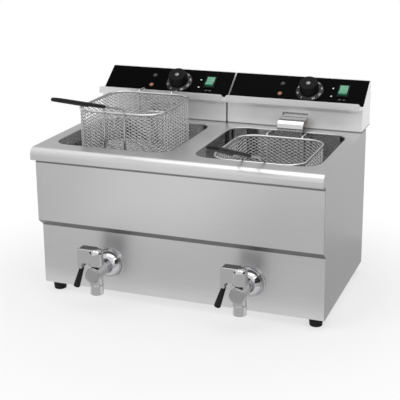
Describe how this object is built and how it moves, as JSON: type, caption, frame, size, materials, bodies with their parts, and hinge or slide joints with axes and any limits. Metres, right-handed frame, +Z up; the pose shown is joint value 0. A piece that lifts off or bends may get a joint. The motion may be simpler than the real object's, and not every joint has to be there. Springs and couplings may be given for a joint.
{
  "type": "countertop deep fryer",
  "caption": "Countertop electric deep fryer with tanks side by side, drain taps in front, lift-out control heads with heating elements behind and wire baskets with long handles.",
  "frame": {"origin": "on the floor, below the middle of the overall box, handles and glands included", "axes": "+X to the right as seen from the front, -Y to the front, +Z up"},
  "size_m": [0.6, 0.6094, 0.4639],
  "materials": {
    "stainless": "satin brushed stainless steel",
    "polished_steel": "polished stainless steel",
    "chrome": "bright chrome plate",
    "brass": "plain brass",
    "steel_wire": "bright plated steel wire",
    "zinc_screws": "zinc-plated steel",
    "element_sheath": "heat-tinted steel sheath",
    "thermostat_case": "pale moulded case",
    "panel_black": "gloss black film",
    "knob_black": "satin black moulded plastic",
    "grip_black": "black dipped sleeve",
    "foot_rubber": "black rubber",
    "rocker_green": "translucent green",
    "lamp_orange": "translucent orange",
    "lamp_grey": "dark lens"
  },
  "bodies": {
    "body": {"top_plate": "stainless", "front_panel": "stainless", "left_side_panel": "stainless", "right_side_panel": "stainless", "rear_panel": "stainless", "base_plate": "stainless", "rubber_feet": "foot_rubber", "foot_screws": "zinc_screws", "left_tank": "polished_steel", "right_tank": "polished_steel", "drain_pipes": "brass", "drain_lock_nuts": "brass", "tap_escutcheons": "chrome", "left_valve_body": "chrome", "right_valve_body": "chrome", "valve_caps": "chrome", "packing_nuts": "chrome"},
    "left_head": {"left_head_casing": "stainless", "left_rear_cover": "stainless", "left_cover_screws": "zinc_screws", "left_cable_gland": "knob_black", "left_control_panel": "panel_black", "left_basket_rail": "stainless", "left_element_hood": "polished_steel", "left_heating_element": "element_sheath", "left_thermostat": "thermostat_case", "left_dial_ring": "chrome", "left_power_lamp": "lamp_grey", "left_heating_lamp": "lamp_orange", "left_switch_body": "knob_black"},
    "left_knob": {"left_temperature_knob": "knob_black"},
    "left_switch": {"left_rocker": "rocker_green"},
    "left_lever": {"left_drain_lever": "chrome", "left_lever_grip": "grip_black", "left_valve_ball": "brass"},
    "left_basket": {"left_basket_mesh": "steel_wire", "left_basket_frame": "steel_wire", "left_handle_grip": "grip_black"},
    "right_head": {"right_head_casing": "stainless", "right_rear_cover": "stainless", "right_cover_screws": "zinc_screws", "right_cable_gland": "knob_black", "right_control_panel": "panel_black", "right_basket_rail": "stainless", "right_element_hood": "polished_steel", "right_heating_element": "element_sheath", "right_thermostat": "thermostat_case", "right_dial_ring": "chrome", "right_power_lamp": "lamp_grey", "right_heating_lamp": "lamp_orange", "right_switch_body": "knob_black"},
    "right_knob": {"right_temperature_knob": "knob_black"},
    "right_switch": {"right_rocker": "rocker_green"},
    "right_lever": {"right_drain_lever": "chrome", "right_lever_grip": "grip_black", "right_valve_ball": "brass"},
    "right_basket": {"right_basket_mesh": "steel_wire", "right_basket_frame": "steel_wire", "right_handle_grip": "grip_black"}
  },
  "joints": [
    {"name": "left_head_lift", "type": "slide", "parent": "body", "child": "left_head", "axis": [0, 0, 1], "range_m": [0, 0.16]},
    {"name": "left_basket_lift", "type": "slide", "parent": "left_head", "child": "left_basket", "axis": [0, 0, 1], "range_m": [0, 0.12]},
    {"name": "left_knob_turn", "type": "hinge", "parent": "left_head", "child": "left_knob", "pos_m": [-0.124, 0.24104, 0.39265], "axis": [0, -0.5956, 0.8033], "range_deg": [-270, 0]},
    {"name": "left_switch_rock", "type": "hinge", "parent": "left_head", "child": "left_switch", "pos_m": [-0.051, 0.24396, 0.39544], "axis": [1, 0, 0], "range_deg": [0, 16]},
    {"name": "left_lever_turn", "type": "hinge", "parent": "body", "child": "left_lever", "pos_m": [-0.15, -0.14947, 0.081], "axis": [0, 0, 1], "range_deg": [0, 90]},
    {"name": "right_head_lift", "type": "slide", "parent": "body", "child": "right_head", "axis": [0, 0, 1], "range_m": [0, 0.16]},
    {"name": "right_basket_lift", "type": "slide", "parent": "right_head", "child": "right_basket", "axis": [0, 0, 1], "range_m": [0, 0.18]},
    {"name": "right_knob_turn", "type": "hinge", "parent": "right_head", "child": "right_knob", "pos_m": [0.176, 0.24104, 0.39265], "axis": [0, -0.5956, 0.8033], "range_deg": [-270, 0]},
    {"name": "right_switch_rock", "type": "hinge", "parent": "right_head", "child": "right_switch", "pos_m": [0.249, 0.24396, 0.39544], "axis": [1, 0, 0], "range_deg": [0, 16]},
    {"name": "right_lever_turn", "type": "hinge", "parent": "body", "child": "right_lever", "pos_m": [0.15, -0.14947, 0.081], "axis": [0, 0, 1], "range_deg": [0, 90]}
  ]
}
